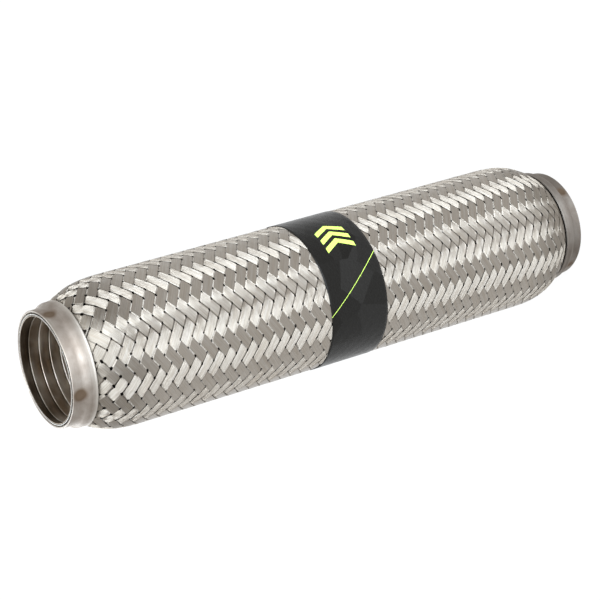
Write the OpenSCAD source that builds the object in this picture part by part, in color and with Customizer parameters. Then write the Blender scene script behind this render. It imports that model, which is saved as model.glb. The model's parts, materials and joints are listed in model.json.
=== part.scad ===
// Braided exhaust flex pipe with a strip-wound liner.
// It stands on its lower rim: the origin is the centre of that rim and +Z runs along the bore.

/* [Overall] */
// Length of the pipe from rim to rim
pipe_len = 300; // [180:1:320]
// Clear bore through the liner
bore_d = 50; // [38:0.5:76]
// Radial clearance between pieces that nest in one another
nest_gap = 0.05; // [0.03:0.01:0.12]

/* [Interlock liner] */
// Radial height of the folded strip
liner_wall = 0.8; // [0.7:0.05:1.6]
// Axial pitch of the strip's turns
strip_pitch = 5.3; // [4:0.1:8]
// Width of the seam between two turns
seam_w = 0.9; // [0.4:0.1:1.4]
// Depth of the seam, inside and outside
seam_depth = 0.3; // [0.15:0.05:0.3]

/* [Bellows] */
// Sheet thickness of the corrugated tube
bellows_wall = 0.3; // [0.2:0.05:0.5]
// Axial pitch of the convolutions
convolution_pitch = 7; // [5:0.25:9]
// Height of a full convolution over the cuff
convolution_h = 8.4; // [6.5:0.1:12]

/* [Braid] */
// Wire bands that run each way round, a multiple of four
bands = 24; // [12:4:24]
// Axial distance between neighbouring bands
float_pitch = 5.8; // [5.6:0.1:10]
// Thickness of the flattened braid inside an end cap
sleeve_wall = 0.65; // [0.5:0.05:1]
// Thickness of the braid where bands cross low
braid_wall = 1.1; // [0.9:0.05:1.6]
// Height of a band's float over the low points
float_h = 0.6; // [0.3:0.05:1]
// Room between the bellows and the inside of the braid
braid_room = 0.3; // [0.2:0.05:1]
// Axial length of the rounded shoulder at each end
shoulder_len = 28; // [20:1:40]
// Fullness of the shoulder's curve
shoulder_power = 3; // [2:0.1:4]
// Radius by which the braid is fuller at its lower end and slimmer at its upper end
swell = 0.8; // [0:0.1:1]
// Share by which the bands crowd towards the lower end
crowd = 0.1; // [0:0.01:0.2]
// Width of an open gap between crossing bands
gap_w = 0.8; // [0.4:0.1:1.2]
// Turn of the weave about the bore
braid_turn = 8.75; // [0:0.25:30]
// Distance of the cut braid ends from the rim
braid_inset = 0.6; // [0.2:0.1:1.5]

/* [End caps] */
// Axial length of a cap
cap_len = 11.5; // [10:0.5:16]
// Sheet thickness of a cap
cap_wall = 0.9; // [0.7:0.05:1.6]
// Length of the plain land next to the rim
land_len = 4.3; // [3:0.1:5]
// Axial length of the joggle between land and lip
joggle_len = 4.2; // [3.6:0.1:5]
// Step from the land up to the lip
lip_h = 1.85; // [1.4:0.05:2.4]
// Room between the lip and the braid
lip_room = 0.15; // [0.1:0.05:0.4]
// Axial length of the flare at the end of the lip
flare_len = 0.9; // [0.8:0.05:1.2]
// Height of the flare over the lip
flare_h = 0.25; // [0.1:0.05:0.4]

/* [Spot welds] */
// Spot welds on each cap
spot_welds = 4; // [2:1:8]
// Diameter of a spot weld's dimple
spot_d = 2.8; // [1.6:0.1:2.8]
// Depth of a spot weld's dimple
spot_depth = 0.15; // [0.05:0.05:0.3]
// Distance of the spot welds from the rim
spot_z = 2.8; // [2:0.1:2.9]
// Turn of the lower cap's first spot weld
lower_spot_turn = -60; // [-180:1:180]
// Turn of the upper cap's first spot weld
upper_spot_turn = -33; // [-180:1:180]

/* [Label] */
// Width of the label wrapped round the middle
label_w = 34; // [15:1:60]
// Thickness of the label
label_wall = 0.2; // [0.1:0.05:0.5]

/* [Hidden] */
$fn = 96;

// Radii of the nested pieces, from the bore outwards
bore_r = bore_d / 2;
liner_r = bore_r + liner_wall;
cuff_in = liner_r + nest_gap;
cuff_r = cuff_in + bellows_wall;
crest_r = cuff_r + convolution_h;
sleeve_in = cuff_r + nest_gap;
sleeve_r = sleeve_in + sleeve_wall;
cap_in = sleeve_r + nest_gap;
cap_mid = cap_in + cap_wall / 2;
cap_r = cap_in + cap_wall;
lip_in = cap_in + lip_h;
mouth_r = lip_in - lip_room;
mouth_in = mouth_r - sleeve_wall;
braid_in = crest_r + braid_room;
braid_low = braid_in + braid_wall;
braid_r = braid_low + float_h;
label_in = braid_r + nest_gap;

// The liner's turns fill the length with a whole number of strips
turns = round(pipe_len / strip_pitch);
turn_len = pipe_len / turns;

// Grid of the weave: two columns for each band, two levels for each float
columns = 2 * bands;
column_angle = 360 / columns;
weave_len = pipe_len - 2 * cap_len;
levels = 4 * round(weave_len / (2 * float_pitch));
// The smooth inside has one column for two, and one row for four levels
inner_rows = levels / 4;
// Levels over which the floats grow to their full height
float_ramp = 2;
// Open gaps sit on every twenty-fourth level, at every fourth column
gap_step = 24;
gap_first = gap_step / 2;
gap_columns = columns / 4;
gap_rows = floor((levels - 4 - gap_first) / gap_step) + 1;
joggle_mid = land_len + joggle_len / 2;

arc_steps = 6;

function arc(centre, radius, from, to, steps = arc_steps) =
    [for (i = [0 : steps]) let (a = from + (to - from) * i / steps)
        centre + radius * [cos(a), sin(a)]];

function backwards(list) = [for (i = [len(list) - 1 : -1 : 0]) list[i]];

// Share of the braid's rise that is reached at height z: 0 at a cap's lip, 1 past the shoulder
function shoulder_share(z) =
    let (run = (min(z, pipe_len - z) - cap_len) / shoulder_len)
    1 - pow(1 - min(max(run, 0), 1), shoulder_power);

// Height over the lip at which the braid has risen by a given share
function shoulder_run(share) = shoulder_len * (1 - pow(1 - share, 1 / shoulder_power));

// Change of the braid's radius at height z: fuller below the middle, slimmer above
function swell_at(z) = swell * (1 - 2 * z / pipe_len);

// The braid is a plain sleeve deep inside a cap, and rises from the cap's mouth
function in_sleeve(z) = min(z, pipe_len - z) < (joggle_mid + cap_len) / 2;

function braid_inside(z) =
    in_sleeve(z) ? sleeve_in : mouth_in + (braid_in + swell_at(z) - mouth_in) * shoulder_share(z);

function braid_outside(z) =
    in_sleeve(z) ? sleeve_r : mouth_r + (braid_low + swell_at(z) - mouth_r) * shoulder_share(z);

// Strip-wound liner: the folded seams show as grooves, inside and half a turn away outside

function seam(radius, z, depth) =
    [[radius, z - seam_w / 2], [radius + depth, z - seam_w / 2],
     [radius + depth, z + seam_w / 2], [radius, z + seam_w / 2]];

module interlock_liner() {
    inside = [for (k = [1 : turns - 1]) each seam(bore_r, k * turn_len, seam_depth)];
    outside = [for (k = [0 : turns - 1]) each seam(liner_r, (k + 0.5) * turn_len, -seam_depth)];
    color([0.42, 0.39, 0.35])
        rotate_extrude()
            polygon(concat([[bore_r, 0]], inside, [[bore_r, pipe_len], [liner_r, pipe_len]],
                           backwards(outside), [[liner_r, 0]]));
}

// Corrugated tube: U-shaped convolutions between two plain cuffs

bend_r = convolution_pitch / 4;
cuff_mid = cuff_in + bellows_wall / 2;
// A convolution is at least two bends and a sheet high, and the first stands where the braid leaves room
least_rise = 2 * bend_r + bellows_wall + braid_room;
first_share = (cuff_r + least_rise - mouth_in) / (braid_in - swell - mouth_in);
first_z = cap_len + shoulder_run(first_share) + 2 * bend_r;
convolutions = floor((pipe_len - 2 * first_z) / convolution_pitch) + 1;

function convolution_z(k) = pipe_len / 2 + (k - (convolutions - 1) / 2) * convolution_pitch;

// Middle of the sheet at the crest of convolution k, which follows the braid
function crest_mid(k) =
    let (z = convolution_z(k), side = 2 * bend_r)
    min(braid_inside(z - side), braid_inside(z + side)) - braid_room - bellows_wall / 2;

// One face of the sheet, a given distance out from its middle, as [radius, height] points
function bellows_face(out) =
    let (root = cuff_mid + bend_r)
    concat(
        [[cuff_mid + out, 0]],
        arc([root, convolution_z(0) - 2 * bend_r], bend_r - out, 180, 90),
        [for (k = [0 : convolutions - 1]) each concat(
            arc([crest_mid(k) - bend_r, convolution_z(k)], bend_r + out, -90, 90),
            k == convolutions - 1 ? [] :
                arc([root, convolution_z(k) + 2 * bend_r], bend_r - out, 270, 90, 2 * arc_steps))],
        arc([root, convolution_z(convolutions - 1) + 2 * bend_r], bend_r - out, 270, 180),
        [[cuff_mid + out, pipe_len]]);

module bellows() {
    color([0.66, 0.64, 0.6])
        rotate_extrude()
            polygon(concat(bellows_face(bellows_wall / 2), backwards(bellows_face(-bellows_wall / 2))));
}

// Braid: one wall whose outside is a two-over, two-under weave of wire bands.
// Grid points with an even sum of column and level lie on a band, the others in the gaps between.

// Height of a level of the weave, which is closer to the next one near the lower end
function weave_z(share) = cap_len + weave_len * (share - crowd * share * (1 - share));

// Height of a ring of the braid: levels 0 to top are the weave, and two more at each end lie inside a cap
function ring_z(level, top) =
    level == -2 ? braid_inset :
    level == -1 ? joggle_mid :
    level == top + 1 ? pipe_len - joggle_mid :
    level == top + 2 ? pipe_len - braid_inset :
    weave_z(level / top);

function is_gap(column, level) =
    let (row = (level - gap_first) / gap_step)
    row >= 0 && row < gap_rows && row == floor(row)
    && (column + columns - 1 - 2 * (row % 2)) % 4 == 0;

function gap_index(column, level) =
    (level - gap_first) / gap_step * gap_columns + floor((column % columns) / 4);

function ring_point(radius, column, z) =
    let (turn = column * column_angle + braid_turn)
    [radius * cos(turn), radius * sin(turn), z];

function float_height(column, level) =
    let (ramp = min(level, levels - level) / float_ramp)
    (column + level) % 2 == 0 ? float_h * max(0, min(1, ramp)) : 0;

function outer_point(column, level) =
    let (z = ring_z(level, levels))
    ring_point(braid_outside(z) + float_height(column, level), column, z);

// The inside has half the columns, so its corners stand off for its flats to clear the bellows
inner_corner = 1 / cos(180 / bands);

function inner_point(column, row) =
    let (z = ring_z(row, inner_rows))
    ring_point(braid_inside(z) * inner_corner, column, z);

// Four corners of a gap, in the order right, up, left, down
gap_corners = [[1, 0], [0, 1], [-1, 0], [0, -1]];

function gap_point(column, level, corner, inside) =
    let (z = ring_z(level, levels) + corner[1] * gap_w / 2,
         radius = inside ? braid_inside(z) * inner_corner : braid_outside(z),
         turn = corner[0] * gap_w / 2 / radius * 180 / PI)
    ring_point(radius, column + turn / column_angle, z);

// Triangles of one cell, a fan from corner first, or from the opposite one where that is a gap.
// at(column, level, k) is the index of a grid point, or of corner k where the point is a gap.
function cell_triangles(at, column, level, first, outwards) =
    let (right = column + 1, high = level + 1,
         corners = [[at(column, level, 1), at(column, level, 0)],
                    [at(right, level, 2), at(right, level, 1)],
                    [at(right, high, 3), at(right, high, 2)],
                    [at(column, high, 0), at(column, high, 3)]],
         start = corners[first][0] == corners[first][1] ? first : first + 2,
         outline = [for (i = [0 : 3]) let (c = corners[(start + i) % 4]) each c[0] == c[1] ? [c[0]] : c])
    [for (i = [1 : len(outline) - 2])
        outwards ? [outline[0], outline[i + 1], outline[i]] : [outline[0], outline[i], outline[i + 1]]];

module braid() {
    outer_points = [for (level = [-2 : levels + 2], column = [0 : columns - 1]) outer_point(column, level)];
    inner_points = [for (row = [-2 : inner_rows + 2], i = [0 : bands - 1]) inner_point(2 * i + 1, row)];
    gaps = [for (level = [gap_first : gap_step : levels - 4], column = [0 : columns - 1])
                if (is_gap(column, level)) [column, level]];
    gap_points = [for (inside = [false, true], gap = gaps, corner = gap_corners)
                      gap_point(gap[0], gap[1], corner, inside)];

    inner_base = len(outer_points);
    gap_base = inner_base + len(inner_points);
    inner_gap_base = gap_base + len(gap_points) / 2;
    outer_at = function(column, level, k)
        is_gap(column, level) ? gap_base + 4 * gap_index(column, level) + k
                              : (level + 2) * columns + column % columns;
    inner_at = function(i, row, k)
        is_gap(2 * i + 1, 4 * row) ? inner_gap_base + 4 * gap_index(2 * i + 1, 4 * row) + k
                                   : inner_base + (row + 2) * bands + i % bands;

    // A cell's crease runs up with one set of bands, down with the other, and else along the low points
    outer_faces = [for (level = [-2 : levels + 1], column = [0 : columns - 1])
        let (low_crease = (column + level) % 2 == 0 ? 1 : 0,
             crease = [0, low_crease, 1, low_crease][column % 4])
        each cell_triangles(outer_at, column, level, crease, true)];
    inner_faces = [for (row = [-2 : inner_rows + 1], i = [0 : bands - 1])
        each cell_triangles(inner_at, i, row, 0, false)];
    tunnel_faces = [for (g = [0 : len(gaps) - 1], k = [0 : 3])
        let (a = gap_base + 4 * g + k, b = gap_base + 4 * g + (k + 1) % 4,
             to_inside = inner_gap_base - gap_base)
        each [[a, b, b + to_inside], [a, b + to_inside, a + to_inside]]];
    // Cut ends of the wires: each corner of the inside takes three triangles
    end_faces = [for (upper = [false, true], i = [0 : bands - 1])
        let (level = upper ? levels + 2 : -2,
             row = upper ? inner_rows + 2 : -2,
             outer = [for (k = [0 : 2]) outer_at(2 * i + k, level, 0)],
             inner = [for (k = [0 : 1]) inner_at(i + k, row, 0)],
             faces = [[outer[0], outer[1], inner[0]], [outer[1], outer[2], inner[0]],
                      [outer[2], inner[1], inner[0]]])
        each upper ? [for (face = faces) backwards(face)] : faces];

    color([0.75, 0.73, 0.69])
        polyhedron(points = concat(outer_points, inner_points, gap_points),
                   faces = concat(outer_faces, inner_faces, tunnel_faces, end_faces));
}

// End cap: a drawn ring with a plain land, a joggle and a lip over the braid that flares at its end

lip_mid = cap_mid + lip_h;
lip_end_z = cap_len - cap_wall / 2;
joggle_angle = 2 * atan(lip_h / joggle_len);
joggle_r = joggle_len / 2 / sin(joggle_angle);
flare_angle = 2 * atan(flare_h / flare_len);
flare_r = flare_len / sin(flare_angle);

// One face of the cap's sheet, a given distance out from its middle, from the rim to the flare
function cap_face(out) =
    concat([[cap_mid + out, 0]],
           arc([cap_mid + joggle_r, land_len], joggle_r - out, 180, 180 - joggle_angle),
           arc([lip_mid - joggle_r, land_len + joggle_len], joggle_r + out, -joggle_angle, 0),
           arc([lip_mid + flare_r, lip_end_z - flare_len], flare_r - out, 180, 180 - flare_angle));

function without_ends(list) = [for (i = [1 : len(list) - 2]) list[i]];

module end_cap(spot_turn) {
    lip_end = without_ends(
        arc([lip_mid + flare_h, lip_end_z], cap_wall / 2, -flare_angle, 180 - flare_angle));
    color([0.7, 0.68, 0.64])
        difference() {
            rotate_extrude()
                polygon(concat(cap_face(cap_wall / 2), lip_end, backwards(cap_face(-cap_wall / 2))));
            for (i = [0 : spot_welds - 1])
                rotate([0, 0, spot_turn + i * 360 / spot_welds])
                    translate([cap_r - spot_depth, 0, spot_z])
                        rotate([0, 90, 0])
                            cylinder(h = spot_depth + lip_h, d = spot_d);
        }
}

module lower_end_cap() { end_cap(lower_spot_turn); }

module upper_end_cap() {
    translate([0, 0, pipe_len])
        mirror([0, 0, 1])
            end_cap(upper_spot_turn);
}

// Label: a thin printed band round the middle of the braid

module label_band() {
    low = (pipe_len - label_w) / 2;
    high = low + label_w;
    inside = [[label_in + swell_at(low), low], [label_in + swell_at(high), high]];
    outside = [for (point = inside) point + [label_wall, 0]];
    color([0.07, 0.07, 0.07])
        rotate_extrude()
            polygon(concat(inside, backwards(outside)));
}

interlock_liner();
bellows();
braid();
lower_end_cap();
upper_end_cap();
label_band();
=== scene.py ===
# Braided exhaust flex pipe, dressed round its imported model. Lengths are in metres.
import json
import math

import bmesh
import bpy
import numpy as np
from mathutils import Matrix, Vector


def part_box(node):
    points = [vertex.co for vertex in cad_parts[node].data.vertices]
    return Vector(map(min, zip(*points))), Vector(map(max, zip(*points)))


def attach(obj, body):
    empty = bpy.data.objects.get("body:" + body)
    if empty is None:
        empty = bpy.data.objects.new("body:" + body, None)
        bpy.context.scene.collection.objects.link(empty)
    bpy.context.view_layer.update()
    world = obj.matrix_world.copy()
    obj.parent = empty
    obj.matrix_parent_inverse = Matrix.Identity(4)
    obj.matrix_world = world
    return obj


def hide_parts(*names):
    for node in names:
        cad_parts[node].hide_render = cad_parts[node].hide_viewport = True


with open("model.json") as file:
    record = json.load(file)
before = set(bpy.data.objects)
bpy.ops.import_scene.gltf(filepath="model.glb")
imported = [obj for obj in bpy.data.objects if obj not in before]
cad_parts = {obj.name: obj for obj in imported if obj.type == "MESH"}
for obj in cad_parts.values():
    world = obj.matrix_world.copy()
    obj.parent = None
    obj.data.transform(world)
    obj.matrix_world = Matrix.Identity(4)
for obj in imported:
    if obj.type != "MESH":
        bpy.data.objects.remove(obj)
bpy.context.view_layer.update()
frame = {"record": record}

MM = 0.001
FULL_TURN = 2 * math.pi
SEED = 24
rng = np.random.default_rng(SEED)


def outer_radius(node):
    """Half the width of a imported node."""
    low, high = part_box(node)
    return (high.x - low.x) / 2


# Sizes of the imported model
BORE_R = frame["record"]["mounts"][0]["dims"]["r_mm"] * MM
PIPE_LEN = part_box("interlock_liner")[1].z
LINER_R = outer_radius("interlock_liner")
CAP_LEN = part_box("lower_end_cap")[1].z
FLARE_R = outer_radius("lower_end_cap")
LABEL_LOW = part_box("label_band")[0].z
LABEL_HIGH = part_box("label_band")[1].z
NEST_GAP = 0.05 * MM

# Sheet of an end cap: a plain land, a joggle and a lip with a flared end
CAP_WALL = 0.9 * MM
LAND_LEN = 4.3 * MM
JOGGLE_LEN = 4.2 * MM
LIP_H = 1.85 * MM
FLARE_LEN = 0.9 * MM
FLARE_H = 0.25 * MM
LIP_MID = FLARE_R - FLARE_H - CAP_WALL / 2
CAP_MID = LIP_MID - LIP_H
EDGE_R = 0.22 * MM

# Shape of the braid: a barrel, a little fuller at its lower end, where the levels of the weave crowd too
LIP_GAP = 0.15 * MM
MOUTH_R = LIP_MID - CAP_WALL / 2 - LIP_GAP
CROWN_R = 36.55 * MM
SWELL = 0.8 * MM
CROWD = 0.1
SHOULDER_LEN = 28 * MM
SHOULDER_POWER = 3
BANDS = 24
LEVELS = 96
COLUMN_ANGLE = math.pi / BANDS
BRAID_TURN = math.radians(8.75)
BANDS_PER_PIECE = 8

# The wound strip of the liner
STRIP_TURNS = 57
STRIP_PITCH = PIPE_LEN / STRIP_TURNS
STRIP_T = 0.3 * MM
STRIP_TUCK = 0.6 * MM
HEM_R = 0.14 * MM
HEM_FOOT = 0.1 * HEM_R
HEM_STEPS = 6
STRIP_STEPS = 72
TRIM_SNAP = 1e-7


# Curves. In the plane of an outline, radius is to the right and height is up.
OUTWARD = 0.0
UP = math.pi / 2
INWARD = math.pi
DOWN = 1.5 * math.pi


def arc(centre, radius, start, end, steps):
    """Points of an arc in the plane, from one angle to another in radians."""
    turn = np.linspace(start, end, steps + 1)
    return np.stack([centre[0] + radius * np.cos(turn), centre[1] + radius * np.sin(turn)], 1)


def drift(along, size, wave):
    """A smooth random curve of about this size, whose waves are about this long."""
    total = np.zeros_like(along)
    for _ in range(3):
        length = wave * rng.uniform(0.6, 1.6)
        total += rng.uniform(-1, 1) * np.sin(FULL_TURN * (along / length + rng.uniform()))
    return size * total


def turn_from(turn, angle):
    """How far an angle lies from a turn, between half a turn back and half a turn on."""
    return (angle - turn + math.pi) % FULL_TURN - math.pi


def polar_points(radius, angle, height):
    """Points at these distances from the axis of the bore, angles and heights."""
    return np.stack(np.broadcast_arrays(radius * np.cos(angle), radius * np.sin(angle), height), 2)


def spun(outline, columns):
    """Radius, height and angle of an outline's points in each of the columns round the pipe."""
    angle = np.linspace(0, FULL_TURN, columns, endpoint=False)[:, None]
    return [a.copy() for a in np.broadcast_arrays(outline[None, :, 0], outline[None, :, 1], angle)]


# Meshes

def mesh_object(name, vertices, faces, uvs=None):
    """A smooth mesh in the scene, with one map of the surface if uvs are given for its corners."""
    mesh = bpy.data.meshes.new(name)
    mesh.from_pydata(vertices, [], faces)
    if uvs is not None:
        layer = mesh.uv_layers.new(name="OFBake")
        layer.data.foreach_set("uv", np.asarray(uvs, np.float32).ravel())
    mesh.shade_smooth()
    piece = bpy.data.objects.new(name, mesh)
    bpy.context.scene.collection.objects.link(piece)
    return piece


def grid_faces(rows, ring, first, closed):
    """Quads of a tube of rows rings, and each corner's share of the way along and round it.

    A closed tube is wrapped onto its first ring."""
    length = rows if closed else rows - 1
    row, spot = (grid.ravel() for grid in np.meshgrid(np.arange(length), np.arange(ring), indexing="ij"))
    corners = [(row, spot), (row + 1, spot), (row + 1, spot + 1), (row, spot + 1)]
    quads = np.stack([first + (r % rows) * ring + s % ring for r, s in corners], 1)
    shares = np.stack([np.stack([r / length, s / ring], 1) for r, s in corners], 1)
    return quads.tolist(), shares


def tubes(name, grids, sharp_spots=(), sharp_rows=None):
    """One piece of several closed tubes, each an array of rings of points.

    Lines along the tubes are sharp at sharp_spots of the ring.
    Rings are sharp where sharp_rows says so, with one array for each tube."""
    vertices, faces, uvs, first = [], [], [], 0
    for k, grid in enumerate(grids):
        rows, ring = grid.shape[:2]
        quads, shares = grid_faces(rows, ring, first, closed=False)
        shares[:, :, 1] = (k + shares[:, :, 1]) / len(grids)
        ends = [[first + i for i in range(ring)],
                [first + (rows - 1) * ring + i for i in reversed(range(ring))]]
        faces += quads + ends
        uvs.append(shares.reshape(-1, 2))
        uvs.append(np.full((2 * ring, 2), [0.0, k / len(grids)]))
        vertices.append(grid.reshape(-1, 3))
        first += rows * ring
    piece = mesh_object(name, np.concatenate(vertices).tolist(), faces, np.concatenate(uvs))
    if sharp_rows is not None:
        sharpen(piece, grids[0].shape[1], sharp_spots, np.concatenate(sharp_rows))
    return piece


def turned(name, radius, height, angle):
    """A closed ring turned about the bore, from arrays of columns by points of its outline."""
    rows, ring = radius.shape
    quads, shares = grid_faces(rows, ring, 0, closed=True)
    points = polar_points(radius, angle, height)
    return mesh_object(name, points.reshape(-1, 3).tolist(), quads, shares.reshape(-1, 2))


def sharpen(piece, ring, spots, rows):
    """Marks the lines along tubes at these spots of their ring, and these rings, as sharp."""
    mesh = piece.data
    ends = np.empty(2 * len(mesh.edges), np.int32)
    mesh.edges.foreach_get("vertices", ends)
    row, spot = np.divmod(ends.reshape(-1, 2), ring)
    along = (spot[:, 0] == spot[:, 1]) & np.isin(spot[:, 0], spots)
    across = (row[:, 0] == row[:, 1]) & rows[row[:, 0]]
    layer = mesh.attributes.new("sharp_edge", "BOOLEAN", "EDGE")
    layer.data.foreach_set("value", along | across)


def vertex_values(piece, name, values):
    """Keeps one number for each vertex, for a material to read."""
    layer = piece.data.attributes.new(name, "FLOAT", "POINT")
    layer.data.foreach_set("value", np.asarray(values, np.float32).ravel())


def dress(piece, material, slot, *nodes):
    """Gives a piece its material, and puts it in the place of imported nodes."""
    piece.data.materials.append(material)
    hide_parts(*nodes)
    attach(piece, "root")


# Shader nodes

def grey(level):
    return (level, level, level)


BLACK = grey(0.0)
WHITE = grey(1.0)
SOFT_NOISE = 3.0
FINE_NOISE = 5.0


def new_material(name, metallic=1.0):
    """A material, its node tree and its shader."""
    material = bpy.data.materials.new(name)
    material.use_nodes = True
    shader = material.node_tree.nodes["Principled BSDF"]
    shader.inputs["Metallic"].default_value = metallic
    return material, material.node_tree, shader


def calc(tree, operation, *values):
    """Result of a sum over sockets and plain numbers."""
    node = tree.nodes.new("ShaderNodeMath")
    node.operation = operation
    for socket, value in zip(node.inputs, values):
        if isinstance(value, (int, float)):
            socket.default_value = value
        else:
            tree.links.new(value, socket)
    return node.outputs[0]


def noise(tree, place, waves, detail=SOFT_NOISE):
    """Smooth noise over a surface, with this many waves for each unit of the place."""
    mapping = tree.nodes.new("ShaderNodeMapping")
    mapping.inputs["Scale"].default_value = waves
    texture = tree.nodes.new("ShaderNodeTexNoise")
    texture.inputs["Scale"].default_value = 1.0
    texture.inputs["Detail"].default_value = detail
    tree.links.new(place, mapping.inputs["Vector"])
    tree.links.new(mapping.outputs["Vector"], texture.inputs["Vector"])
    return texture.outputs["Fac"]


def ramp(tree, factor, stops):
    """Colours along a factor: stops are pairs of a position and a colour."""
    node = tree.nodes.new("ShaderNodeValToRGB")
    while len(node.color_ramp.elements) < len(stops):
        node.color_ramp.elements.new(1.0)
    for element, (position, colour) in zip(node.color_ramp.elements, stops):
        element.position = position
        element.color = (*colour, 1.0)
    tree.links.new(factor, node.inputs["Fac"])
    return node.outputs["Color"]


def spread(tree, factor, low, high):
    """Maps noise, which mostly lies near the middle, to a range of values."""
    node = tree.nodes.new("ShaderNodeMapRange")
    node.inputs["From Min"].default_value = 0.3
    node.inputs["From Max"].default_value = 0.7
    node.inputs["To Min"].default_value = low
    node.inputs["To Max"].default_value = high
    tree.links.new(factor, node.inputs["Value"])
    return node.outputs["Result"]


def mix(tree, factor, first, second, blend="MIX"):
    """Blend of two colours, each a socket or a plain colour."""
    node = tree.nodes.new("ShaderNodeMix")
    node.data_type = "RGBA"
    node.blend_type = blend
    for socket, value in ((node.inputs[0], factor), (node.inputs[6], first), (node.inputs[7], second)):
        if isinstance(value, tuple):
            socket.default_value = (*value, 1.0)
        elif isinstance(value, (int, float)):
            socket.default_value = value
        else:
            tree.links.new(value, socket)
    return node.outputs[2]


def coordinates(tree, kind):
    """Where a point lies on the part, or on its surface's map."""
    return tree.nodes.new("ShaderNodeTexCoord").outputs[kind]


def axes_of(tree, place):
    """X, Y and Z of a place."""
    node = tree.nodes.new("ShaderNodeSeparateXYZ")
    tree.links.new(place, node.inputs["Vector"])
    return node.outputs


def attribute(tree, name):
    """One of the numbers kept for each vertex."""
    node = tree.nodes.new("ShaderNodeAttribute")
    node.attribute_name = name
    return node.outputs["Fac"]


def bump(tree, shader, height, distance):
    """Fine relief of this depth."""
    node = tree.nodes.new("ShaderNodeBump")
    node.inputs["Distance"].default_value = distance
    tree.links.new(height, node.inputs["Height"])
    tree.links.new(node.outputs["Normal"], shader.inputs["Normal"])


def shine_across(tree, shader, amount):
    """Stretches highlights across the first direction of the surface's map, as drawn wire does."""
    tangent = tree.nodes.new("ShaderNodeTangent")
    tangent.direction_type = "UV_MAP"
    tangent.uv_map = "OFBake"
    tree.links.new(tangent.outputs["Tangent"], shader.inputs["Tangent"])
    shader.inputs["Anisotropic"].default_value = amount
    shader.inputs["Anisotropic Rotation"].default_value = 0.25


def rim_share(tree, z):
    """0 at the middle of the pipe, 1 at either rim."""
    from_middle = calc(tree, "ABSOLUTE", calc(tree, "SUBTRACT", z, PIPE_LEN / 2))
    return calc(tree, "DIVIDE", from_middle, PIPE_LEN / 2)


# Materials: colours, waves of their noise along each axis, and ranges of roughness

WIRE_DARK = (0.36, 0.325, 0.285)
WIRE_PALE = (0.54, 0.505, 0.455)
WIRE_WARM = (0.9, 0.87, 0.83)
WIRE_STREAKS = (60, 16 * BANDS_PER_PIECE, 1)
WIRE_PATCHES = (30, 4 * BANDS_PER_PIECE, 1)
WIRE_ROUGHNESS = (0.385, 0.495)
WIRE_RELIEF = 0.02 * MM
# Painted shade: the undersides and dips of the bands are darkened to near black, so that the gaps look dark
RECESS_SHADE = (0.012, 0.01, 0.008)
RECESS_SHADE_SHARE = 0.95
# The shoulders are duller, the braid is painted black as the shadow where it goes under a lip, and its cut
# ends are grey.
# Where each begins is a share of the way from the middle to a rim.
DULL_FROM = 0.72
DULL_ROUGHER = 0.14
SHOULDER_TONE = (0.88, 0.87, 0.86)
LIP_TONE = (0.8, 0.78, 0.75)
MOUTH_SHADOW = (0.04, 0.035, 0.03)
CUT_TONE = (0.5, 0.48, 0.44)
MOUTH_OUT = 0.6 * MM
MOUTH_SHARE = 1 - 2 * (CAP_LEN + MOUTH_OUT) / PIPE_LEN
MOUTH_FADE = 0.004
# Both painted shadows at the mouths are set a little higher, so that more of the lower one shows beside its
# lip
MOUTH_SHIFT = 0.6 * MM


def braid_wire():
    """Drawn stainless wire: streaks along each band, bands that differ a little in tone, painted near-black
    shade in the recesses, and a painted shadow where the braid goes under a lip.
    """
    material, tree, shader = new_material("braid_wire")
    place = coordinates(tree, "UV")
    streaks = noise(tree, place, WIRE_STREAKS, FINE_NOISE)
    patches = noise(tree, place, WIRE_PATCHES)
    tone = ramp(tree, streaks, [(0.3, WIRE_DARK), (0.7, WIRE_PALE)])
    warm = ramp(tree, patches, [(0.35, WIRE_WARM), (0.65, WHITE)])
    z = axes_of(tree, coordinates(tree, "Object"))["Z"]
    from_middle = rim_share(tree, calc(tree, "SUBTRACT", z, MOUTH_SHIFT))
    # Towards the rims: duller shoulders, a painted shadow where the braid goes under each lip, grey cut
    # ends
    ends = ramp(tree, from_middle, [
        (DULL_FROM, WHITE), (0.88, SHOULDER_TONE), (MOUTH_SHARE - MOUTH_FADE, LIP_TONE),
        (MOUTH_SHARE, MOUTH_SHADOW), (0.95, MOUTH_SHADOW), (0.96, CUT_TONE)])
    unshaded = mix(tree, 1.0, mix(tree, 1.0, tone, warm, "MULTIPLY"), ends, "MULTIPLY")
    # Painted shade in the recesses, read from the recess numbers of the vertices
    recess_shade = ramp(tree, attribute(tree, "recess"), [(0.0, BLACK), (1.0, grey(RECESS_SHADE_SHARE))])
    tree.links.new(mix(tree, recess_shade, unshaded, RECESS_SHADE), shader.inputs["Base Color"])
    dulled = ramp(tree, from_middle, [(DULL_FROM, BLACK), (0.86, grey(DULL_ROUGHER))])
    roughness = calc(tree, "ADD", spread(tree, streaks, *WIRE_ROUGHNESS), dulled)
    tree.links.new(roughness, shader.inputs["Roughness"])
    shine_across(tree, shader, 1.0)
    bump(tree, shader, streaks, WIRE_RELIEF)
    return material


CAP_PALE = (0.455, 0.415, 0.375)
CAP_DULL = (0.355, 0.315, 0.275)
CAP_BROWN = (0.26, 0.21, 0.17)
CAP_RUBBED_SHEEN = (0.54, 0.505, 0.455)
CAP_LINES = (6, 420, 1)
CAP_SMUDGES = (130, 130, 160)
CAP_STAINED = (0.0, 0.7)
CAP_ROUGHNESS = (0.6, 0.72)
CAP_SHINE = 0.75
CAP_RELIEF = 0.01 * MM
TINT_EDGE = (0.27, 0.205, 0.155)
TINT_RING = (0.18, 0.13, 0.09)
TINT_CORE = (0.205, 0.15, 0.105)
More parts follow.
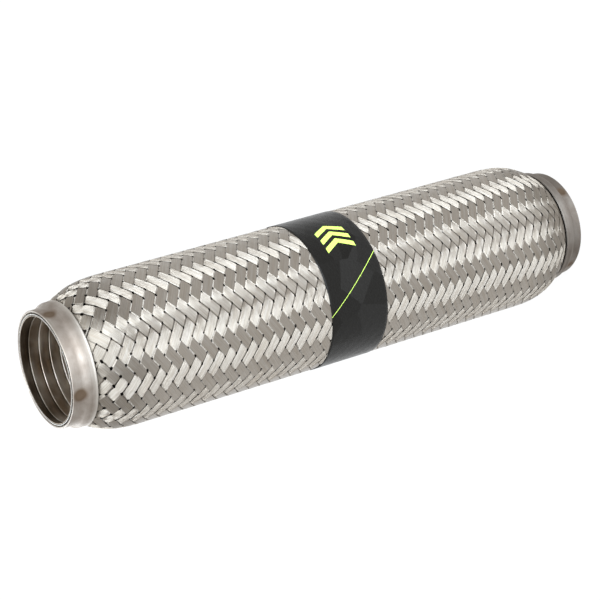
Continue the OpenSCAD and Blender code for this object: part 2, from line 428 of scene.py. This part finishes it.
# The lower cap is painted darker, as painted shade at the far end, and gets less of the rubbing and painted
# lip highlight
LOWER_CAP_PAINTED_SHADE = 0.6
LOWER_CAP_RUB_SHEEN = 0.2


def shaded(shade, *colours):
    """Colours made darker by one share."""
    return [tuple(shade * c for c in colour) for colour in colours]


def cap_steel(name, shade, rub_sheen):
    """Satin sheet steel with fine turning lines, edges paler from rubbing and from a painted highlight, and
    brown tint round the spot welds.
    """
    material, tree, shader = new_material(name)
    lines = noise(tree, coordinates(tree, "UV"), CAP_LINES)
    smudges = noise(tree, coordinates(tree, "Object"), CAP_SMUDGES, FINE_NOISE)
    # A shade below 1 paints the cap darker as painted shade; the weld tints and the paler lip are darkened
    # less
    pale, dull, brown = shaded(shade, CAP_PALE, CAP_DULL, CAP_BROWN)
    edge, ring, core, rubbed_and_sheen = shaded(math.sqrt(shade), TINT_EDGE, TINT_RING, TINT_CORE, CAP_RUBBED_SHEEN)
    tone = ramp(tree, lines, [(0.3, dull), (0.7, pale)])
    stained = mix(tree, spread(tree, smudges, *CAP_STAINED), tone, brown)
    # Paler lip and rim: partly rubbing of the steel, partly a painted highlight
    with_rub_sheen = mix(tree, calc(tree, "MULTIPLY", attribute(tree, "rubbed_and_sheen"), rub_sheen), stained, rubbed_and_sheen)
    heat = attribute(tree, "weld_tint")
    tint = ramp(tree, heat, [(0.0, edge), (0.45, ring), (0.8, core)])
    share = ramp(tree, heat, [(0.1, BLACK), (0.45, WHITE)])
    tree.links.new(mix(tree, share, with_rub_sheen, tint), shader.inputs["Base Color"])
    tree.links.new(spread(tree, smudges, *CAP_ROUGHNESS), shader.inputs["Roughness"])
    shine_across(tree, shader, CAP_SHINE)
    bump(tree, shader, lines, CAP_RELIEF)
    return material


SEAM_SHADOW = (0.29, 0.24, 0.19)
STRIP_LOW = (0.5, 0.415, 0.33)
STRIP_HIGH = (0.6, 0.51, 0.42)
HEM_SHEEN = (0.72, 0.65, 0.57)
HEM_HIGHLIGHT = (0.78, 0.73, 0.66)
LINER_STAINED = (0.62, 0.55, 0.48)
LINER_RIM = (0.3, 0.28, 0.25)
LINER_STAINS = (90, 90, 140)
LINER_ROUGHNESS = (0.4, 0.6)


def liner_steel():
    """Dull strip of the liner: a painted shadow in the seams and a painted highlight along each hem."""
    material, tree, shader = new_material("liner_steel")
    place = coordinates(tree, "Object")
    axes = axes_of(tree, place)
    turns = calc(tree, "DIVIDE", calc(tree, "ARCTAN2", axes["Y"], axes["X"]), FULL_TURN)
    pitches = calc(tree, "DIVIDE", axes["Z"], STRIP_PITCH)
    across = calc(tree, "FRACT", calc(tree, "SUBTRACT", pitches, turns))
    # Painted shadow at each seam and painted highlight along each hem, from how far across the strip a
    # point lies
    strip = ramp(tree, across, [
        (0.0, SEAM_SHADOW), (0.25, STRIP_LOW), (0.9, STRIP_HIGH), (0.96, HEM_SHEEN), (1.0, HEM_HIGHLIGHT)])
    stain = noise(tree, place, LINER_STAINS)
    film = ramp(tree, stain, [(0.35, LINER_STAINED), (0.65, WHITE)])
    stained = mix(tree, 1.0, strip, film, "MULTIPLY")
    rims = ramp(tree, rim_share(tree, axes["Z"]), [(0.94, WHITE), (0.99, LINER_RIM)])
    tree.links.new(mix(tree, 1.0, stained, rims, "MULTIPLY"), shader.inputs["Base Color"])
    tree.links.new(spread(tree, stain, *LINER_ROUGHNESS), shader.inputs["Roughness"])
    return material


# The sheet is painted near-black, as the shade behind the gaps of the braid
SHEET_SHADOW = (0.05, 0.046, 0.042)
SHEET_PALE = (0.1, 0.09, 0.08)
SHEET_PALER = (0.0, 0.4)
CUFF_TONE = (0.24, 0.22, 0.195)
SHEET_GRAIN = (700, 700, 300)
SHEET_ROUGHNESS = (0.3, 0.45)


def bellows_steel():
    """Thin corrugated sheet: painted near-black as the shade under the braid, paler at its cut cuffs."""
    material, tree, shader = new_material("bellows_steel")
    place = coordinates(tree, "Object")
    to_rim = rim_share(tree, axes_of(tree, place)["Z"])
    # Painted shade over the sheet, paler at the cut cuffs
    sheet = ramp(tree, to_rim, [(0.97, SHEET_SHADOW), (0.99, CUFF_TONE)])
    grain = noise(tree, place, SHEET_GRAIN)
    colour = mix(tree, spread(tree, grain, *SHEET_PALER), sheet, SHEET_PALE)
    tree.links.new(colour, shader.inputs["Base Color"])
    tree.links.new(spread(tree, grain, *SHEET_ROUGHNESS), shader.inputs["Roughness"])
    return material


# Print of the label, in metres round and along the pipe from the middle of the printed mark
MARK_TURN = math.radians(-58)
MARK_PITCH = 5.2 * MM
MARK_COUNT = 3
MARK_FILL = 0.55
MARK_HALF_W = 8 * MM
MARK_SLOPE = 0.55
LINE_BACK = 22 * MM
LINE_HALF_W = 0.17 * MM
LINE_SLOPE = 0.8
PRINT_COLOUR = (0.56, 0.78, 0.13)
FILM_DARK = (0.006, 0.0052, 0.0042)
FILM_PALE = (0.0145, 0.0132, 0.0118)
FILM_SCUFFS = (500, 500, 900)
FILM_ROUGHNESS = (0.2, 0.34)
FILM_GLOSS = 0.12
FACETS_PER_METRE = 60.0


def label_film():
    """Near-black glossy film with faint facets, three plain chevrons and a thin line."""
    material, tree, shader = new_material("label_film", metallic=0.0)
    place = coordinates(tree, "Object")
    axes = axes_of(tree, place)
    turn = calc(tree, "ARCTAN2", axes["Y"], axes["X"])
    round_way = calc(tree, "MULTIPLY", calc(tree, "SUBTRACT", turn, MARK_TURN), CROWN_R)
    along = calc(tree, "SUBTRACT", axes["Z"], (LABEL_LOW + LABEL_HIGH) / 2)
    off_middle = calc(tree, "ABSOLUTE", along)

    pointed = calc(tree, "MULTIPLY_ADD", off_middle, MARK_SLOPE, round_way)
    slant = calc(tree, "DIVIDE", pointed, MARK_PITCH)
    chevrons = calc(tree, "LESS_THAN", calc(tree, "FRACT", slant), MARK_FILL)
    for limit in (calc(tree, "GREATER_THAN", slant, 0.0),
                  calc(tree, "LESS_THAN", slant, float(MARK_COUNT)),
                  calc(tree, "LESS_THAN", off_middle, MARK_HALF_W)):
        chevrons = calc(tree, "MULTIPLY", chevrons, limit)

    line_way = calc(tree, "ADD", calc(tree, "MULTIPLY_ADD", along, LINE_SLOPE, round_way), LINE_BACK)
    line = calc(tree, "LESS_THAN", calc(tree, "ABSOLUTE", line_way), LINE_HALF_W)

    facets = tree.nodes.new("ShaderNodeTexVoronoi")
    facets.inputs["Scale"].default_value = FACETS_PER_METRE
    tree.links.new(place, facets.inputs["Vector"])
    tones = tree.nodes.new("ShaderNodeSeparateColor")
    tree.links.new(facets.outputs["Color"], tones.inputs["Color"])
    dark = ramp(tree, tones.outputs["Red"], [(0.0, FILM_DARK), (1.0, FILM_PALE)])
    marked = mix(tree, calc(tree, "MAXIMUM", chevrons, line), dark, PRINT_COLOUR)
    tree.links.new(marked, shader.inputs["Base Color"])
    scuffs = noise(tree, place, FILM_SCUFFS)
    tree.links.new(spread(tree, scuffs, *FILM_ROUGHNESS), shader.inputs["Roughness"])
    shader.inputs["Specular IOR Level"].default_value = FILM_GLOSS
    return material


# Barrel of the braid

def shoulder_room(z):
    """1 at a cap, falling evenly to 0 where the shoulder ends."""
    return np.clip(1 - (np.minimum(z, PIPE_LEN - z) - CAP_LEN) / SHOULDER_LEN, 0, 1)


def shoulder_share(z):
    """How far the braid has risen from the caps at height z, from 0 to 1."""
    return 1 - shoulder_room(z) ** SHOULDER_POWER


def barrel(z, mouth, full):
    """Radius at height z of a barrel with these radii at its mouths and half-way up."""
    swollen = full + SWELL * (1 - 2 * z / PIPE_LEN)
    return mouth + (swollen - mouth) * shoulder_share(z)


def crown(z):
    """Outer radius of the braid at height z."""
    return barrel(z, MOUTH_R, CROWN_R)


def crown_slope(z):
    """Change of the crown's radius with height."""
    step = 0.1 * MM
    return (crown(z + step) - crown(z - step)) / (2 * step)


def level_z(level):
    """Height of a level of the weave: the levels crowd towards the lower end."""
    share = level / LEVELS
    return CAP_LEN + (PIPE_LEN - 2 * CAP_LEN) * (share - CROWD * share * (1 - share))


# Braid: flat bands of wires, over two and under two
BAND_W = 4.55 * MM
BAND_GAP = 0.62 * MM
BAND_T = 0.28 * MM
BAND_LIFT = 0.15 * MM
WIRES = 8
WIRE_GROOVE = 0.09 * MM
BAND_EDGE_H = 0.15 * BAND_T
UNDERSIDE_HALF = 0.48
# Rows along a band in one repeat of four crossings, counted from the middle of a float.
# A float is slightly crowned and ends square at the edges of the bands that hide its dips.
REPEAT = 4
FLOAT_ROWS = (-0.93, -0.84, -0.14, 0.0, 0.14, 0.84, 0.93)
DIP_ROWS = (1.07, 1.18, 1.86, 2.0, 2.14, 2.82, 2.93)
RISING_START = 0.5
FALLING_START = -2.5
FLOAT_CROWN = 0.1
# Where the gaps between bands cross, the bands draw in by a share of HOLE_DRAW and leave a hole,
# a wider one on the shoulders
HOLE_REACH = 0.1
HOLE_DRAW = 0.38 * MM
HOLE_SHARES = (0.0, 1.9)
SHOULDER_HOLES = 1.1
# How unevenly the wires and bands lie: sizes, each with the length of its waves in levels
WIRE_UNEVEN = 0.01 * MM
LIFT_DRIFT = (0.02 * MM, 7)
SWAY_DRIFT = (0.05 * MM, 11)
LEAN_DRIFT = (math.radians(1.2), 6)
# On the shoulder that faces the camera, one patch of bands is pressed flat: their wires stand apart
# and fill most of the gaps
LOOSE_TURN = math.radians(287)
LOOSE_Z = 277 * MM
LOOSE_REACH = 15 * MM
LOOSE_FILL = 0.8 * BAND_GAP
LOOSE_GROOVE = 0.08 * MM
# Share of the painted shade of a band's underside that its dips get, where they pass under other bands
DIP_SHADE_SHARE = 0.3


def band_spacing(level):
    """Distance between neighbouring bands of one way at a level, square to the bands."""
    z = level_z(level)
    rise = (level_z(level + 0.5) - level_z(level - 0.5)) * np.hypot(1, crown_slope(z))
    width = crown(z) * COLUMN_ANGLE
    return 2 * rise * width / np.hypot(rise, width)


def loose_share(turn, z):
    """1 in the middle half of the patch of loose wires, falling to 0 round it."""
    away = np.hypot(turn_from(LOOSE_TURN, turn) * crown(z), z - LOOSE_Z) / LOOSE_REACH
    return np.clip(2 * (1 - away), 0, 1)


def band_outline():
    """Outline across a band: shares of its width, heights, and which points lie in a groove.

    Round wires are on top, and the last two points are the flat underside."""
    across = np.linspace(0.5, -0.5, 2 * WIRES + 1)
    in_groove = np.arange(2 * WIRES + 1) % 2 == 0
    height = BAND_T / 2 - WIRE_GROOVE * in_groove
    height[[0, -1]] = BAND_EDGE_H
    return (np.append(across, [-UNDERSIDE_HALF, UNDERSIDE_HALF]),
            np.append(height, [-BAND_T / 2, -BAND_T / 2]),
            np.append(in_groove, [False, False]))


def band(start, way):
    """Points of one band, which of its rows are sharp, and how much painted shade each point gets in a
    recess.

    start is its number round the pipe, and way is 1 or -1 as it winds.
    Its rows run along the bands that it crosses."""
    first_float = (RISING_START if way > 0 else FALLING_START) - 2 * way * start
    repeats = np.arange(-1, LEVELS // REPEAT + 1)[:, None] * REPEAT + first_float % REPEAT
    from_float = np.array(FLOAT_ROWS + DIP_ROWS)
    all_levels = (repeats + from_float).ravel()
    kept = (all_levels > -1) & (all_levels < LEVELS + 1)
    level = all_levels[kept]

    def each_repeat(values):
        """Values for the rows of one repeat, laid out along the band."""
        return np.tile(values, len(repeats))[kept]

    lifts = np.where(from_float < 1, BAND_LIFT * (1 - FLOAT_CROWN * from_float ** 2), -BAND_LIFT)
    lift = each_repeat(lifts) + drift(level, *LIFT_DRIFT)
    across, height, in_groove = band_outline()
    height = height + np.append(rng.normal(0, WIRE_UNEVEN, 2 * WIRES + 1), [0, 0])

    spacing = band_spacing(level)
    at_hole = each_repeat(np.abs(from_float - np.round(from_float)) < HOLE_REACH)
    draw = HOLE_DRAW * at_hole * rng.uniform(*HOLE_SHARES, len(level))
    draw *= 1 + SHOULDER_HOLES * shoulder_room(level_z(level))
    loose = loose_share((2 * start + way * level) * COLUMN_ANGLE + BRAID_TURN, level_z(level))
    width = np.minimum(BAND_W, spacing - BAND_GAP) + LOOSE_FILL * loose - draw
    sway = drift(level, *SWAY_DRIFT)
    aside = (across * width[:, None] + sway[:, None]) / spacing[:, None]
    lean = drift(level, *LEAN_DRIFT)[:, None] * across * BAND_W
    over = lift[:, None] + height + lean - LOOSE_GROOVE * loose[:, None] * in_groove

    turn = (2 * start + way * level[:, None] + aside) * COLUMN_ANGLE + BRAID_TURN
    z = level_z(level[:, None] - way * aside)
    slope = crown_slope(z)
    outward = over / np.hypot(1, slope)
    points = polar_points(crown(z) - BAND_T / 2 - BAND_LIFT + outward, turn, z - outward * slope)
    sharp = each_repeat(np.isin(from_float, (FLOAT_ROWS[0], FLOAT_ROWS[-1], DIP_ROWS[0], DIP_ROWS[-1])))
    # Painted shade: all of it on the underside, a share of it in the dips
    underside = np.arange(len(across)) > 2 * WIRES
    in_dip = each_repeat(from_float > 1)
    recess = np.maximum(underside, DIP_SHADE_SHARE * in_dip[:, None])
    return points, sharp, recess


def add_braid(material):
    """All bands of both ways, in pieces of bands that lie evenly round the pipe."""
    ring = 2 * WIRES + 3
    grooves = list(range(0, 2 * WIRES + 1, 2)) + [ring - 2, ring - 1]
    for way, side in ((1, "rising"), (-1, "falling")):
        for part in range(BANDS // BANDS_PER_PIECE):
            numbers = [part + k * BANDS // BANDS_PER_PIECE for k in range(BANDS_PER_PIECE)]
            grids, sharp_rows, recesses = zip(*[band(n, way) for n in numbers])
            piece = tubes(f"braid_{side}_{part + 1}", grids, grooves, sharp_rows)
            vertex_values(piece, "recess", np.concatenate([r.ravel() for r in recesses]))
            dress(piece, material, "braid_wire", "braid")


# Cut braid ends between cuff and cap
CUT_IN = 26.2 * MM
CUT_OUT = 26.85 * MM
CUT_INSET = 0.55 * MM
CUT_DEPTH = 7 * MM
CUT_RAGGED = (-0.4 * MM, 0.5 * MM)
CUT_WAVER = 0.03 * MM
CUT_COLUMNS = 432


def from_end(height, upper):
    """Heights counted from a rim, as heights of the pipe."""
    return PIPE_LEN - height if upper else height


def add_cut_ends(material, upper):
    """The sleeve of flattened wires inside a cap, with its ragged cut edge."""
    outline = np.array([
        [CUT_OUT, CUT_INSET], [CUT_OUT, CUT_DEPTH], [CUT_IN, CUT_DEPTH], [CUT_IN, CUT_INSET]])
    radius, height, angle = spun(outline, CUT_COLUMNS)
    cut_edge = [0, 3]
    height[:, cut_edge] += rng.uniform(*CUT_RAGGED, (CUT_COLUMNS, 2))
    radius[:, cut_edge] += rng.uniform(-CUT_WAVER, CUT_WAVER, (CUT_COLUMNS, 2))
    if upper:
        radius, height = radius[:, ::-1], height[:, ::-1]
    name = "braid_cut_upper" if upper else "braid_cut_lower"
    dress(turned(name, radius, from_end(height, upper), angle), material, "braid_wire", "braid")


# End caps
CAP_COLUMNS = 288
LAND_POINTS = 13
JOGGLE_STEPS = 7
FLARE_STEPS = 5
LIP_STEPS = 10
EDGE_STEPS = 4
CAP_OUTSIDE = CAP_MID + 0.2 * CAP_WALL
# The sheet is drawn and rolled, so it is slightly out of round, with three lobes, and its rim waves
OUT_OF_ROUND = 0.035 * MM
RIM_UNEVEN = 0.06 * MM
# The lip is paler over this length and the rim a little, by a share that changes round the cap: partly
# rubbing of the steel, partly a painted highlight
RUBBED_SHEEN_LEN = 1.8 * MM
RIM_RUB_SHEEN = 0.1
RUB_SHEEN_SHARE = 0.75
RUB_SHEEN_DRIFT = (0.12, 0.7)
# Spot welds: dimples and heat marks, their turn on each cap in degrees, and how much each one is tinted
SPOT_Z = 2.8 * MM
SPOT_R = 1.4 * MM
SPOT_DEPTH = 0.15 * MM
SPOT_WALL = 0.25
HEAT_Z = 3.2 * MM
HEAT_R = 4.6 * MM
LOWER_SPOT_TURN = -60
UPPER_SPOT_TURN = -33
LOWER_TINTS = (0.7, 0.9, 0.8, 0.6)
UPPER_TINTS = (0.85, 0.8, 0.7, 1.0)


def cap_outline():
    """Outline of a cap's sheet, up its outside from the rim, round the lip and down its inside."""
    half = CAP_WALL / 2
    joggle_top = LAND_LEN + JOGGLE_LEN
    lip_end = CAP_LEN - half
    joggle = 2 * math.atan(LIP_H / JOGGLE_LEN)
    joggle_r = JOGGLE_LEN / 2 / math.sin(joggle)
    flare = 2 * math.atan(FLARE_H / FLARE_LEN)
    flare_r = FLARE_LEN / math.sin(flare)
    land_z = np.linspace(2 * EDGE_R, LAND_LEN, LAND_POINTS)[:-1]

    def face(out):
        """One face of the sheet, a distance out from its middle, from the rim to the lip's end."""
        land = np.stack([np.full(len(land_z), CAP_MID + out), land_z], 1)
        low = arc((CAP_MID + joggle_r, LAND_LEN), joggle_r - out, INWARD, INWARD - joggle, JOGGLE_STEPS)
        high = arc((LIP_MID - joggle_r, joggle_top), joggle_r + out, -joggle, OUTWARD, JOGGLE_STEPS)[1:]
        end = arc((LIP_MID + flare_r, lip_end - FLARE_LEN), flare_r - out,
                  INWARD, INWARD - flare, FLARE_STEPS)
        return np.concatenate([land, low, high, end])

    lip = arc((LIP_MID + FLARE_H, lip_end), half, -flare, INWARD - flare, LIP_STEPS)[1:-1]
    inner_edge = arc((CAP_MID - half + EDGE_R, EDGE_R), EDGE_R, INWARD, DOWN, EDGE_STEPS)
    outer_edge = arc((CAP_MID + half - EDGE_R, EDGE_R), EDGE_R, DOWN, FULL_TURN, EDGE_STEPS)
    return np.concatenate([face(half), lip, face(-half)[::-1], inner_edge, outer_edge])


def weld_marks(angle, height, first_turn, tints):
    """Heat and dimples of a cap's spot welds at these points, each from 0 to 1."""
    heat = np.zeros_like(height)
    dimple = np.zeros_like(height)
    for i, tint in enumerate(tints):
        turn = math.radians(first_turn + i * 360 / len(tints))
        sideways = turn_from(turn, angle) * (CAP_MID + CAP_WALL / 2)
        from_heat = np.hypot(sideways, height - HEAT_Z) / HEAT_R
        from_spot = np.hypot(sideways, height - SPOT_Z) / SPOT_R
        heat = np.maximum(heat, tint * np.clip(1 - from_heat, 0, 1))
        dimple = np.maximum(dimple, np.clip((1 + SPOT_WALL - from_spot) / SPOT_WALL, 0, 1))
    return heat, dimple


def add_cap(material, upper):
    """The rolled sheet of one cap, with its weld marks and its edges paler from rubbing and a painted
    highlight.
    """
    name = "upper_end_cap" if upper else "lower_end_cap"
    spot_turn, tints = (UPPER_SPOT_TURN, UPPER_TINTS) if upper else (LOWER_SPOT_TURN, LOWER_TINTS)
    radius, height, angle = spun(cap_outline(), CAP_COLUMNS)
    outside = radius > CAP_OUTSIDE
    # The lip and rim get rubbing together with a painted highlight
    on_lip = np.clip((height - CAP_LEN + RUBBED_SHEEN_LEN) / RUBBED_SHEEN_LEN * 2, 0, 1)
    rubbed_and_sheen = np.maximum(on_lip, RIM_RUB_SHEEN * (height < EDGE_R)) * (RUB_SHEEN_SHARE + drift(angle, *RUB_SHEEN_DRIFT))
    heat, dimple = weld_marks(angle, height, spot_turn, tints)
    near_rim = np.clip(1 - height / LAND_LEN, 0, 1)
    radius += OUT_OF_ROUND * np.sin(3 * angle + 1.1) * near_rim - SPOT_DEPTH * dimple * outside
    height += RIM_UNEVEN * near_rim * (1 + np.sin(5 * angle) * np.cos(2 * angle + 0.4))
    tint = heat * outside
    if upper:
        radius, height, tint, rubbed_and_sheen = (a[:, ::-1] for a in (radius, height, tint, rubbed_and_sheen))
    piece = turned(f"{name}_sheet", radius, from_end(height, upper), angle)
    vertex_values(piece, "weld_tint", tint)
    vertex_values(piece, "rubbed_and_sheen", rubbed_and_sheen)
    dress(piece, material, "cap_steel", name)


# Liner

def trim_to_rims(piece):
    """Cuts a piece off square at both rims of the pipe, and closes the cuts with sharp edges."""
    mesh = bmesh.new()
    mesh.from_mesh(piece.data)
    for z, way in ((0.0, -1), (PIPE_LEN, 1)):
        everything = mesh.verts[:] + mesh.edges[:] + mesh.faces[:]
        bmesh.ops.bisect_plane(mesh, geom=everything, dist=TRIM_SNAP, plane_co=(0, 0, z),
                               plane_no=(0, 0, way), clear_outer=True)
        open_edges = [edge for edge in mesh.edges if edge.is_boundary]
        bmesh.ops.holes_fill(mesh, edges=open_edges, sides=0)
        for edge in open_edges:
            edge.smooth = False
    mesh.to_mesh(piece.data)
    mesh.free()


def add_liner(material):
    """One strip wound round the bore, each turn tucked behind the hem of the turn below it."""
    hem = STRIP_PITCH - HEM_R
    outline = np.concatenate([
        [[LINER_R, -STRIP_TUCK]],
        [[BORE_R + HEM_R + STRIP_T, hem - HEM_R]],
        arc((BORE_R + HEM_R, hem), HEM_R, OUTWARD, INWARD, HEM_STEPS),
        [[BORE_R + HEM_FOOT, hem - HEM_R]],
        [[LINER_R - STRIP_T, -STRIP_TUCK]],
    ])
    turns = np.arange((STRIP_TURNS + 2) * STRIP_STEPS + 1)[:, None] / STRIP_STEPS - 1
    points = polar_points(outline[None, :, 0], FULL_TURN * turns, outline[None, :, 1] + STRIP_PITCH * turns)
    piece = tubes("liner_strip", [points])
    trim_to_rims(piece)
    dress(piece, material, "liner_steel", "interlock_liner")


# Bellows: a thin corrugated sheet with a plain cuff at each end, whose crests follow the braid
SHEET_T = 0.3 * MM
CUFF_MID = LINER_R + NEST_GAP + SHEET_T / 2
CONVOLUTIONS = 38
CONVOLUTION_PITCH = 7 * MM
BEND_R = CONVOLUTION_PITCH / 4
BEND_STEPS = 4
BRAID_WALL = 1.7 * MM
SLEEVE_WALL = 0.65 * MM
BRAID_ROOM = 0.3 * MM
BELLOWS_COLUMNS = 72


def braid_inside(z):
    """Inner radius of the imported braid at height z."""
    return barrel(z, MOUTH_R - SLEEVE_WALL, CROWN_R - BRAID_WALL)


def bellows_face(out):
    """One face of the sheet, a distance out from its middle, from the lower rim to the upper one."""
    root = CUFF_MID + BEND_R
    crests = PIPE_LEN / 2 + (np.arange(CONVOLUTIONS) - (CONVOLUTIONS - 1) / 2) * CONVOLUTION_PITCH
    low, high = crests[0] - 2 * BEND_R, crests[-1] + 2 * BEND_R
    runs = [[[CUFF_MID + out, 0]], arc((root, low), BEND_R - out, INWARD, UP, BEND_STEPS // 2)]
    for z in crests:
        room = min(braid_inside(z - 2 * BEND_R), braid_inside(z + 2 * BEND_R)) - BRAID_ROOM - SHEET_T / 2
        runs.append(arc((room - BEND_R, z), BEND_R + out, -UP, UP, BEND_STEPS))
        if z < crests[-1]:
            runs.append(arc((root, z + 2 * BEND_R), BEND_R - out, DOWN, UP, BEND_STEPS))
    runs += [arc((root, high), BEND_R - out, DOWN, INWARD, BEND_STEPS // 2), [[CUFF_MID + out, PIPE_LEN]]]
    return np.concatenate(runs)


def add_bellows(material):
    """The corrugated sheet, with sharp edges where its cuffs are cut."""
    outside, inside = bellows_face(SHEET_T / 2), bellows_face(-SHEET_T / 2)[::-1]
    outline = np.concatenate([outside, inside])
    piece = turned("bellows_sheet", *spun(outline, BELLOWS_COLUMNS))
    cut_edges = [0, len(outside) - 1, len(outside), len(outline) - 1]
    sharpen(piece, len(outline), cut_edges, np.zeros(BELLOWS_COLUMNS, bool))
    dress(piece, material, "bellows_steel", "bellows")


# Label round the middle, put on slightly askew
LABEL_T = 0.2 * MM
LABEL_SKEW = 0.7 * MM
LABEL_SKEW_TURN = 0.6
LABEL_SAG = 0.1 * MM
LABEL_COLUMNS = 384
LABEL_ROWS = 28


def add_label(material):
    """The film, which bridges the floats and sinks a little between them."""
    angle = np.linspace(0, FULL_TURN, LABEL_COLUMNS, endpoint=False)[:, None]
    share = np.linspace(0, 1, LABEL_ROWS)[None, :]
    skew = LABEL_SKEW * np.cos(angle + LABEL_SKEW_TURN)
    z = LABEL_LOW + LABEL_SKEW + (LABEL_HIGH - LABEL_LOW - 2 * LABEL_SKEW) * share + skew
    column = angle / COLUMN_ANGLE
    level = (z - CAP_LEN) / (PIPE_LEN - 2 * CAP_LEN) * LEVELS
    sink = 0.5 - 0.5 * np.cos(math.pi * column) * np.cos(math.pi * level)
    inside = crown(z) + NEST_GAP
    outside = inside + LABEL_T - LABEL_SAG * sink
    radius = np.concatenate([outside, inside[:, ::-1]], 1)
    height = np.concatenate([z, z[:, ::-1]], 1)
    dress(turned("label_film", radius, height, angle), material, "label_film", "label_band")


# Camera
CAMERA_AT = Vector((0, -0.752, 0.604))
CAMERA_AIM = Vector((-0.0021, 0.0048, 0.1581))
CAMERA_ROLL = math.radians(-106.34)
CAMERA_LENS = 106.3
SENSOR = 36.0


def add_camera():
    """Adds the photo's camera, and gives its right, up and back as the columns of a matrix."""
    data = bpy.data.cameras.new("camera")
    data.lens = CAMERA_LENS
    data.sensor_width = SENSOR
    camera = bpy.data.objects.new("camera", data)
    bpy.context.scene.collection.objects.link(camera)
    forward = (CAMERA_AIM - CAMERA_AT).normalized()
    level_right = forward.cross(Vector((0, 0, 1))).normalized()
    level_up = level_right.cross(forward)
    right = level_right * math.cos(CAMERA_ROLL) + level_up * math.sin(CAMERA_ROLL)
    axes = Matrix((right, right.cross(forward), -forward)).transposed()
    camera.matrix_world = Matrix.Translation(CAMERA_AT) @ axes.to_4x4()
    bpy.context.scene.camera = camera
    return axes


# World and floor
AMBIENT = 0.35
FLOOR_SIZE = 8
FLOOR_COLOUR = (0.9, 0.9, 0.9, 1)
FLOOR_SHADOW = 0.06


def direct_rays(tree):
    """1 for rays from the camera, from gloss and through glass, 0 for the others."""
    path = tree.nodes.new("ShaderNodeLightPath")
    return calc(tree, "MAXIMUM", path.outputs["Is Camera Ray"],
                calc(tree, "MAXIMUM", path.outputs["Is Glossy Ray"], path.outputs["Is Transmission Ray"]))


def add_world():
    """A white world that lights matt surfaces more weakly than it looks."""
    world = bpy.data.worlds.new("studio")
    bpy.context.scene.world = world
    world.use_nodes = True
    tree = world.node_tree
    background = tree.nodes["Background"]
    background.inputs["Color"].default_value = (1, 1, 1, 1)
    strength = calc(tree, "MULTIPLY_ADD", direct_rays(tree), 1 - AMBIENT, AMBIENT)
    tree.links.new(strength, background.inputs["Strength"])


def add_floor():
    """A white floor that keeps a faint shadow."""
    half = FLOOR_SIZE / 2
    corners = [(-half, -half, 0), (half, -half, 0), (half, half, 0), (-half, half, 0)]
    floor = mesh_object("floor", corners, [(0, 1, 2, 3)])
    material = bpy.data.materials.new("floor")
    material.use_nodes = True
    tree = material.node_tree
    tree.nodes.remove(tree.nodes["Principled BSDF"])
    matt = tree.nodes.new("ShaderNodeBsdfDiffuse")
    matt.inputs["Color"].default_value = FLOOR_COLOUR
    glow = tree.nodes.new("ShaderNodeEmission")
    blend = tree.nodes.new("ShaderNodeMixShader")
    tree.links.new(calc(tree, "MULTIPLY", direct_rays(tree), 1 - FLOOR_SHADOW), blend.inputs["Fac"])
    tree.links.new(matt.outputs["BSDF"], blend.inputs[1])
    tree.links.new(glow.outputs["Emission"], blend.inputs[2])
    tree.links.new(blend.outputs["Shader"], tree.nodes["Material Output"].inputs["Surface"])
    floor.data.materials.append(material)


# Square softboxes that face the middle of the pipe: where each stands from there, its side in metres
# and its power in watts. The key's place is along the camera's right, up and back.
LIGHT_AIM = Vector((0, 0, PIPE_LEN / 2))
LIGHT_COLOUR = (0.82, 0.91, 1.0)
KEY_FROM_CAMERA = 4.0 * Vector((-0.06, 0.27, 0.96))
KEY_SIDE = 3.0
KEY_POWER = 154
OVERHEAD_AT = 3.6 * Vector((0.07, -0.3, 0.95))
OVERHEAD_SIDE = 2.7
OVERHEAD_POWER = 205
FILL_BACK = 2.4
FILL_SIDE = 4.0
FILL_POWER = 60
REAR_AT = 4.0 * Vector((-0.25, 0.85, 0.46))
REAR_SIDE = 3.0
REAR_POWER = 150


def add_softbox(name, off, side, power):
    """A square lamp this far off the middle of the pipe, hidden from the camera."""
    data = bpy.data.lights.new(name, "AREA")
    data.shape = "SQUARE"
    data.size = side
    data.energy = power
    data.color = LIGHT_COLOUR
    lamp = bpy.data.objects.new(name, data)
    bpy.context.scene.collection.objects.link(lamp)
    lamp.location = LIGHT_AIM + off
    lamp.rotation_euler = (-off).to_track_quat("-Z", "Y").to_euler()
    lamp.visible_camera = False


def add_lights(axes):
    """The lamps, with the camera's right, up and back as the columns of axes."""
    add_softbox("key", axes @ KEY_FROM_CAMERA, KEY_SIDE, KEY_POWER)
    add_softbox("overhead", OVERHEAD_AT, OVERHEAD_SIDE, OVERHEAD_POWER)
    add_softbox("fill", FILL_BACK * axes.col[2], FILL_SIDE, FILL_POWER)
    add_softbox("rear", REAR_AT, REAR_SIDE, REAR_POWER)


wire = braid_wire()
add_braid(wire)
for at_top in (False, True):
    add_cut_ends(wire, at_top)
# The lower cap is a copy of the cap steel, painted darker as shade
add_cap(cap_steel("lower_cap_steel_in_shade", LOWER_CAP_PAINTED_SHADE, LOWER_CAP_RUB_SHEEN), False)
add_cap(cap_steel("upper_cap_steel", 1.0, 1.0), True)
add_liner(liner_steel())
add_label(label_film())
add_bellows(bellows_steel())

bpy.context.scene.view_settings.view_transform = "Standard"
add_world()
add_floor()
add_lights(add_camera())
